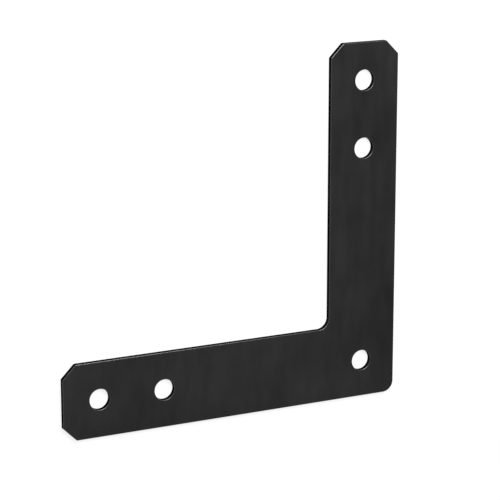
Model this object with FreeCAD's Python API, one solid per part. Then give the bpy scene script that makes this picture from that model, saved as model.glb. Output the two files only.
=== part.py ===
import FreeCAD, Part
import math
import os

# A flat corner brace: one L of 7 gauge strap steel with two equal legs,
# blanked and punched in one piece and coated all over. Five plain round holes
# take bolts of 5/8 in. The four free corners are cut off at 45 degrees, the
# outside corner is rounded and the inside corner has a fillet.
#
# The brace lies on its back face. The foot leg runs along -X and the upright
# leg along +Y, and +Z comes out of the front face. The origin is on the axis
# of the corner hole, in the plane of the back face. Sizes are in millimetres.

# Outline
LEG_LENGTH = 304.8  # outside corner to the end of either leg, 12 in
LEG_WIDTH = 63.5  # 2 1/2 in
THICKNESS = 4.554  # 7 gauge sheet
END_CHAMFER = 11.4  # what each 45 degree cut takes off the end and off the side
OUTER_CORNER_RADIUS = 9.525  # 3/8 in
INNER_CORNER_RADIUS = 9.525  # 3/8 in

# Bolt holes, on the centre line of each leg and where the two lines cross
HOLE_DIAMETER = 17.4625  # 11/16 in, which clears a 5/8 in bolt
END_HOLE_SETBACK = 31.75  # end of the leg to the centre of its first hole
HOLE_SPACING = 57.15  # first hole to second hole of a leg

# Edges
FRONT_EDGE_ROLL = 0.6  # the die draws the front edges and hole mouths down
BACK_EDGE_BREAK = 0.3  # burrs are knocked off the back edges before coating
CHAMFER_TIP_RADIUS = 1.5  # at both ends of each 45 degree cut

# Places that follow from the sizes, with the corner hole at 0, 0
CENTRE_TO_SIDE = LEG_WIDTH / 2
OUTSIDE = LEG_LENGTH - CENTRE_TO_SIDE  # corner hole to the end of a leg
END_HOLE = OUTSIDE - END_HOLE_SETBACK
SECOND_HOLE = END_HOLE - HOLE_SPACING
ON_PLANE = 1e-6


def vector(x, y, z=0.0):
    return FreeCAD.Vector(x, y, z)


def outline_corners():
    """Corners of the L before rounding, anticlockwise, each with its radius."""
    side = CENTRE_TO_SIDE
    shoulder = side - END_CHAMFER
    cheek = OUTSIDE - END_CHAMFER
    return [
        (vector(side, -side), OUTER_CORNER_RADIUS),
        (vector(side, cheek), CHAMFER_TIP_RADIUS),
        (vector(shoulder, OUTSIDE), CHAMFER_TIP_RADIUS),
        (vector(-shoulder, OUTSIDE), CHAMFER_TIP_RADIUS),
        (vector(-side, cheek), CHAMFER_TIP_RADIUS),
        (vector(-side, side), INNER_CORNER_RADIUS),
        (vector(-cheek, side), CHAMFER_TIP_RADIUS),
        (vector(-OUTSIDE, shoulder), CHAMFER_TIP_RADIUS),
        (vector(-OUTSIDE, -shoulder), CHAMFER_TIP_RADIUS),
        (vector(-cheek, -side), CHAMFER_TIP_RADIUS),
    ]


def corner_arc(before, corner, after, radius):
    """Arc of the given radius, tangent to both sides that meet at a corner."""
    back = (before - corner).normalize()
    ahead = (after - corner).normalize()
    half_angle = back.getAngle(ahead) / 2
    inward = (back + ahead).normalize()
    run = radius / math.tan(half_angle)
    depth = radius / math.sin(half_angle) - radius
    return Part.Arc(corner + back * run, corner + inward * depth, corner + ahead * run)


def rounded_outline(corners):
    """Closed wire of straight sides, with an arc at every corner."""
    points = [point for point, radius in corners]
    arcs = []
    for i, (point, radius) in enumerate(corners):
        after = points[(i + 1) % len(points)]
        arcs.append(corner_arc(points[i - 1], point, after, radius))
    edges = []
    for arc, next_arc in zip(arcs, arcs[1:] + arcs[:1]):
        edges.append(arc.toShape())
        edges.append(Part.makeLine(arc.EndPoint, next_arc.StartPoint))
    return Part.Wire(edges)


def hole_centres():
    """The corner hole, then the two holes of the upright leg and of the foot leg."""
    return [
        vector(0, 0),
        vector(0, SECOND_HOLE),
        vector(0, END_HOLE),
        vector(-SECOND_HOLE, 0),
        vector(-END_HOLE, 0),
    ]


def edges_at(solid, height):
    """Edges that lie wholly in the plane at this height."""
    found = []
    for edge in solid.Edges:
        low = edge.BoundBox.ZMin
        high = edge.BoundBox.ZMax
        if abs(low - height) < ON_PLANE and abs(high - height) < ON_PLANE:
            found.append(edge)
    return found


def corner_brace():
    """The plate: blanked, punched, rounded along the front edges, broken along the back ones."""
    blank = Part.Face(rounded_outline(outline_corners()))
    plate = blank.extrude(vector(0, 0, THICKNESS))
    for centre in hole_centres():
        plate = plate.cut(Part.makeCylinder(HOLE_DIAMETER / 2, THICKNESS, centre))
    plate = plate.makeFillet(FRONT_EDGE_ROLL, edges_at(plate, THICKNESS))
    plate = plate.makeChamfer(BACK_EDGE_BREAK, edges_at(plate, 0))
    return plate


os.makedirs("parts", exist_ok=True)
corner_brace().exportStep("parts/corner_brace.step")
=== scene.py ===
import math

import bpy
from mathutils import Matrix, Vector

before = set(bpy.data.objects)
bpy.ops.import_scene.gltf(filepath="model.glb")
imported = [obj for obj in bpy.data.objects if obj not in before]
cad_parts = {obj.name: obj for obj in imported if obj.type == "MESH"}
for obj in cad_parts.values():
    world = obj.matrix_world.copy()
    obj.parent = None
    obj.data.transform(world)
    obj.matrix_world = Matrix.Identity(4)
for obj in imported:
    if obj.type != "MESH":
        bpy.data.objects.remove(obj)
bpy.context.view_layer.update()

# The brace lies on its back on a pale floor, with +Z out of its front face, the
# foot leg along -X and the upright leg along +Y. Everything is in metres.

# Camera: where the photograph was taken from, as if the brace stood on its foot leg
LENS_MM = 150
SENSOR_MM = 36
AIM = Vector((-0.1040, 0.1074, 0.0))  # the middle of the picture, in the plane of the back
DISTANCE = 1.711
TURN = math.radians(26.82)  # the camera stands this far to the left of the plate's normal
RISE = math.radians(13.92)  # and this far above it

# Light
SKY = 0.3  # even light from all over
SKY_WHITE_BELOW = 0.15  # by the Z of the ray: the background is white up to here
SKY_PLAIN_ABOVE = 0.3  # and plain sky from here on
KEY_AT = Vector((-0.03, 0.9, 1.2))
KEY_AIM = Vector((-0.1, 0.1, 0.0))
KEY_LONG = 1.05
KEY_SHORT = 0.75
KEY_WATTS = 20.0

# Floor
FLOOR_HALF = 30.0
FLOOR_DROP = 0.0001  # under the back face, so that the two planes don't coincide
FLOOR_WHITE = 0.25  # its colour under the lights
GLOW_NEAR = 0.82  # its own white round the brace, low enough to keep the shadow
GLOW_FAR = 0.94  # and further off, where less light falls
GLOW_RISES_FROM = 0.3  # from the corner hole
GLOW_RISES_TO = 1.3

# Powder coat: how black, glossy and rough it is
COAT_IOR = 1.6
FACE_BLACK = 0.019
FACE_GLOSS = 0.225
FACE_SPREAD = 0.45  # black and gloss are more and less by this share in places
FACE_ROUGH = 0.46
ROUGH_SPREAD = 0.04
# Painted shade: the cut walls get a darker black than the faces, though the coat on them is the
# same, so that they look shaded
WALL_SHADE_BLACK = 0.007
WALL_GLOSS = 0.0  # cut walls have no shine but their glaze's
WALL_SPREAD = 0.5

# Glaze: the clear top of the coat, which lies full on rolled edges and thin on cut walls
GLAZE_IOR = 1.8
GLAZE_ROUGH = 0.24
WALL_GLAZE = 0.2
GLAZED_UP_TO = 0.2  # on walls it fades out from this slant of the view
BARE_FROM = 0.5  # to this one

# Faces, rolled edges and cut walls, told apart by the Z of the normal
FACE_ABOVE = 0.999
ROLL_BELOW = 0.985
ROLL_ABOVE = 0.5
WALL_BELOW = 0.1

# Textures of the coat and of the cut edge under it
GRAIN_SIZE = 0.0004
GRAIN_HEIGHT = 0.00003
PEEL_SIZE = 0.0022
PEEL_HEIGHT = 0.00004
# Painted light: the drift's seed puts its lighter and darker parts where more and less light falls
# across the face, on top of the coat's random unevenness
DRIFT_SIZE = 0.16
DRIFT_DETAIL = 1
DRIFT_SHARE = 0.5  # of drift, clouds and streaks together
DRIFT_PAINTED_LIGHT_SEED = 37.74
CLOUD_SIZE = 0.03
CLOUD_DETAIL = 3
CLOUD_SEED = 16.28
STREAK_SIZE = 0.012
STREAK_SHARE = 0.55  # of clouds and streaks together
STREAK_RUN = 4  # times longer than wide, along the sheet's rolling direction
STREAK_SEED = 1.11
SHEAR_SIZE = 0.0005
SHEAR_RUN = 12  # times longer than wide, through the sheet's thickness
SHEAR_HEIGHT = 0.00006
FINE_DETAIL = 2  # of grain, peel, streaks and shear lines
NOISE_LOW = 0.3  # most of a noise's values lie between these two
NOISE_HIGH = 0.7


class Nodes:
    """A node tree, with short calls to add nodes and to join them."""

    def __init__(self, tree):
        self.tree = tree
        tree.nodes.clear()

    def add(self, kind, **settings):
        node = self.tree.nodes.new(kind)
        for name, value in settings.items():
            setattr(node, name, value)
        return node

    def join(self, output, socket):
        self.tree.links.new(output, socket)

    def feed(self, value, socket):
        """Joins an output to the socket, or sets the socket to a plain number."""
        if isinstance(value, bpy.types.NodeSocket):
            self.join(value, socket)
        else:
            socket.default_value = value

    def math(self, operation, *values):
        node = self.add("ShaderNodeMath", operation=operation)
        for value, socket in zip(values, node.inputs):
            self.feed(value, socket)
        return node.outputs[0]

    def mix(self, share, first, second):
        node = self.add("ShaderNodeMix", data_type="FLOAT")
        for name, value in (("Factor", share), ("A", first), ("B", second)):
            socket = next(s for s in node.inputs if s.name == name and s.enabled)
            self.feed(value, socket)
        return next(s for s in node.outputs if s.enabled)

    def remap(self, value, low, high, to_low, to_high):
        node = self.add("ShaderNodeMapRange")
        self.join(value, node.inputs["Value"])
        node.inputs["From Min"].default_value = low
        node.inputs["From Max"].default_value = high
        node.inputs["To Min"].default_value = to_low
        node.inputs["To Max"].default_value = to_high
        return node.outputs["Result"]

    def spread(self, noise, middle, share):
        """A noise turned into values from this share under the middle one to as much over it."""
        return self.remap(noise, NOISE_LOW, NOISE_HIGH, middle * (1 - share), middle * (1 + share))

    def noise(self, place, size, detail, seed=0.0):
        node = self.add("ShaderNodeTexNoise", noise_dimensions="4D")
        self.join(place, node.inputs["Vector"])
        node.inputs["W"].default_value = seed
        node.inputs["Scale"].default_value = 1 / size
        node.inputs["Detail"].default_value = detail
        return node.outputs["Fac"]

    def stretch(self, place, factors):
        node = self.add("ShaderNodeVectorMath", operation="MULTIPLY")
        self.join(place, node.inputs[0])
        node.inputs[1].default_value = factors
        return node.outputs[0]

    def bump(self, height, distance, under=None):
        node = self.add("ShaderNodeBump")
        self.join(height, node.inputs["Height"])
        node.inputs["Distance"].default_value = distance
        if under:
            self.join(under, node.inputs["Normal"])
        return node.outputs["Normal"]

    def show(self, shader, kind="ShaderNodeOutputMaterial"):
        """Joins a shader to a new output of the tree."""
        self.join(shader.outputs[0], self.add(kind).inputs["Surface"])


def new_material(name):
    material = bpy.data.materials.new(name)
    material.use_nodes = True
    return material, Nodes(material.node_tree)


def new_object(name, data):
    obj = bpy.data.objects.new(name, data)
    bpy.context.scene.collection.objects.link(obj)
    return obj


def edge_masks(nodes):
    """Two masks: of the cut walls with the broken back edge, and of the rolled front edge."""
    normal = nodes.add("ShaderNodeSeparateXYZ")
    nodes.join(nodes.add("ShaderNodeNewGeometry").outputs["Normal"], normal.inputs[0])
    up = normal.outputs["Z"]
    off_face = nodes.remap(nodes.math("ABSOLUTE", up), ROLL_BELOW, FACE_ABOVE, 1, 0)
    wall = nodes.math("MULTIPLY", nodes.remap(up, WALL_BELOW, ROLL_ABOVE, 1, 0), off_face)
    roll = nodes.math("SUBTRACT", off_face, wall)
    return wall, roll


def patches_and_painted_light(nodes, place):
    """One noise of broad drift, clouds and streaks; the drift also paints light, lighter and
    darker where more and less light falls across the face.
    """
    drift = nodes.noise(place, DRIFT_SIZE, DRIFT_DETAIL, DRIFT_PAINTED_LIGHT_SEED)
    cloud = nodes.noise(place, CLOUD_SIZE, CLOUD_DETAIL, CLOUD_SEED)
    streaky_place = nodes.stretch(place, (1, 1 / STREAK_RUN, 1))
    streak = nodes.noise(streaky_place, STREAK_SIZE, FINE_DETAIL, STREAK_SEED)
    return nodes.mix(DRIFT_SHARE, nodes.mix(STREAK_SHARE, cloud, streak), drift)


def powder_coat():
    """Near-black powder coat with fine grain, a little orange peel, black and gloss that differ in
    places, painted light in the broad drift and painted shade on the cut walls.
    """
    material, nodes = new_material("black_powder_coat")
    place = nodes.add("ShaderNodeTexCoord").outputs["Object"]
    wall, roll = edge_masks(nodes)
    patchy_and_painted_light = patches_and_painted_light(nodes, place)
    sheared_place = nodes.stretch(place, (1, 1, 1 / SHEAR_RUN))
    shear = nodes.noise(sheared_place, SHEAR_SIZE, FINE_DETAIL)
    grain = nodes.noise(place, GRAIN_SIZE, FINE_DETAIL)
    peel = nodes.noise(place, PEEL_SIZE, FINE_DETAIL)

    # The face's black and gloss differ in places, at random and with painted light from the broad
    # drift
    face_black_and_painted_light = nodes.spread(patchy_and_painted_light, FACE_BLACK, FACE_SPREAD)
    # The cut walls' black, darker than the faces' as painted shade, with lighter and darker shear
    # lines
    wall_shade_black = nodes.spread(shear, WALL_SHADE_BLACK, WALL_SPREAD)
    face_gloss = nodes.spread(patchy_and_painted_light, FACE_GLOSS, FACE_SPREAD)
    smoothest = FACE_ROUGH - ROUGH_SPREAD
    roughest = FACE_ROUGH + ROUGH_SPREAD
    rough = nodes.remap(patchy_and_painted_light, NOISE_LOW, NOISE_HIGH, smoothest, roughest)
    slant = nodes.add("ShaderNodeLayerWeight").outputs["Facing"]
    wall_glaze = nodes.remap(slant, GLAZED_UP_TO, BARE_FROM, WALL_GLAZE, 0)

    bumps = nodes.bump(nodes.math("MULTIPLY", shear, wall), SHEAR_HEIGHT)
    bumps = nodes.bump(peel, PEEL_HEIGHT, bumps)
    bumps = nodes.bump(grain, GRAIN_HEIGHT, bumps)

    shader = nodes.add("ShaderNodeBsdfPrincipled")
    shader.inputs["IOR"].default_value = COAT_IOR
    shader.inputs["Coat IOR"].default_value = GLAZE_IOR
    shader.inputs["Coat Roughness"].default_value = GLAZE_ROUGH
    nodes.join(nodes.mix(wall, face_black_and_painted_light, wall_shade_black), shader.inputs["Base Color"])
    nodes.join(nodes.mix(wall, face_gloss, WALL_GLOSS), shader.inputs["Specular IOR Level"])
    nodes.join(nodes.mix(wall, roll, wall_glaze), shader.inputs["Coat Weight"])
    nodes.join(rough, shader.inputs["Roughness"])
    nodes.join(bumps, shader.inputs["Normal"])
    nodes.show(shader)
    return material


def seen_directly(nodes):
    """1 for camera, glossy and transmission rays, 0 for the rays that light things."""
    path = nodes.add("ShaderNodeLightPath").outputs
    seen = nodes.math("MAXIMUM", path["Is Camera Ray"], path["Is Glossy Ray"])
    return nodes.math("MAXIMUM", seen, path["Is Transmission Ray"])


def pale_floor():
    """Pale floor that shows white, and a shadow where less light falls."""
    material, nodes = new_material("pale_floor")
    diffuse = nodes.add("ShaderNodeBsdfDiffuse")
    diffuse.inputs["Color"].default_value = (FLOOR_WHITE, FLOOR_WHITE, FLOOR_WHITE, 1)
    away = nodes.add("ShaderNodeVectorMath", operation="LENGTH")
    nodes.join(nodes.add("ShaderNodeTexCoord").outputs["Object"], away.inputs[0])
    distance = away.outputs["Value"]
    white = nodes.remap(distance, GLOW_RISES_FROM, GLOW_RISES_TO, GLOW_NEAR, GLOW_FAR)
    glow = nodes.add("ShaderNodeEmission")
    nodes.join(nodes.math("MULTIPLY", seen_directly(nodes), white), glow.inputs["Strength"])
    both = nodes.add("ShaderNodeAddShader")
    nodes.join(diffuse.outputs[0], both.inputs[0])
    nodes.join(glow.outputs[0], both.inputs[1])
    nodes.show(both)
    return material


def floor():
    half = FLOOR_HALF
    corners = [(-half, -half), (half, -half), (half, half), (-half, half)]
    mesh = bpy.data.meshes.new("floor")
    mesh.from_pydata([(x, y, -FLOOR_DROP) for x, y in corners], [], [(0, 1, 2, 3)])
    mesh.materials.append(pale_floor())
    new_object("floor", mesh)


def sky():
    """Even light from all over, and a white background down to the horizon."""
    world = bpy.data.worlds.new("sky")
    world.use_nodes = True
    nodes = Nodes(world.node_tree)
    direction = nodes.add("ShaderNodeSeparateXYZ")
    nodes.join(nodes.add("ShaderNodeTexCoord").outputs["Generated"], direction.inputs[0])
    low = nodes.remap(direction.outputs["Z"], SKY_WHITE_BELOW, SKY_PLAIN_ABOVE, 1, 0)
    white = nodes.math("MULTIPLY", low, seen_directly(nodes))
    background = nodes.add("ShaderNodeBackground")
    nodes.join(nodes.math("MAXIMUM", white, SKY), background.inputs["Strength"])
    nodes.show(background, "ShaderNodeOutputWorld")
    bpy.context.scene.world = world


def key_light():
    light = bpy.data.lights.new("key", "AREA")
    light.shape = "RECTANGLE"
    light.size = KEY_LONG
    light.size_y = KEY_SHORT
    light.energy = KEY_WATTS
    turned = (KEY_AT - KEY_AIM).to_track_quat("Z", "Y").to_matrix().to_4x4()
    obj = new_object("key", light)
    obj.matrix_world = Matrix.Translation(KEY_AT) @ turned


def camera():
    """The photograph's view, with the upright leg up in the picture."""
    data = bpy.data.cameras.new("camera")
    data.lens = LENS_MM
    data.sensor_width = SENSOR_MM
    across = math.cos(RISE)
    back = Vector((-across * math.sin(TURN), math.sin(RISE), across * math.cos(TURN)))
    right = Vector((0, 1, 0)).cross(back).normalized()
    up = back.cross(right)
    turned = Matrix((right, up, back)).transposed().to_4x4()
    obj = new_object("camera", data)
    obj.matrix_world = Matrix.Translation(AIM + back * DISTANCE) @ turned
    bpy.context.scene.camera = obj


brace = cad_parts["corner_brace"]
brace.data.materials.clear()
brace.data.materials.append(powder_coat())
floor()
sky()
key_light()
camera()
bpy.context.scene.view_settings.view_transform = "Standard"
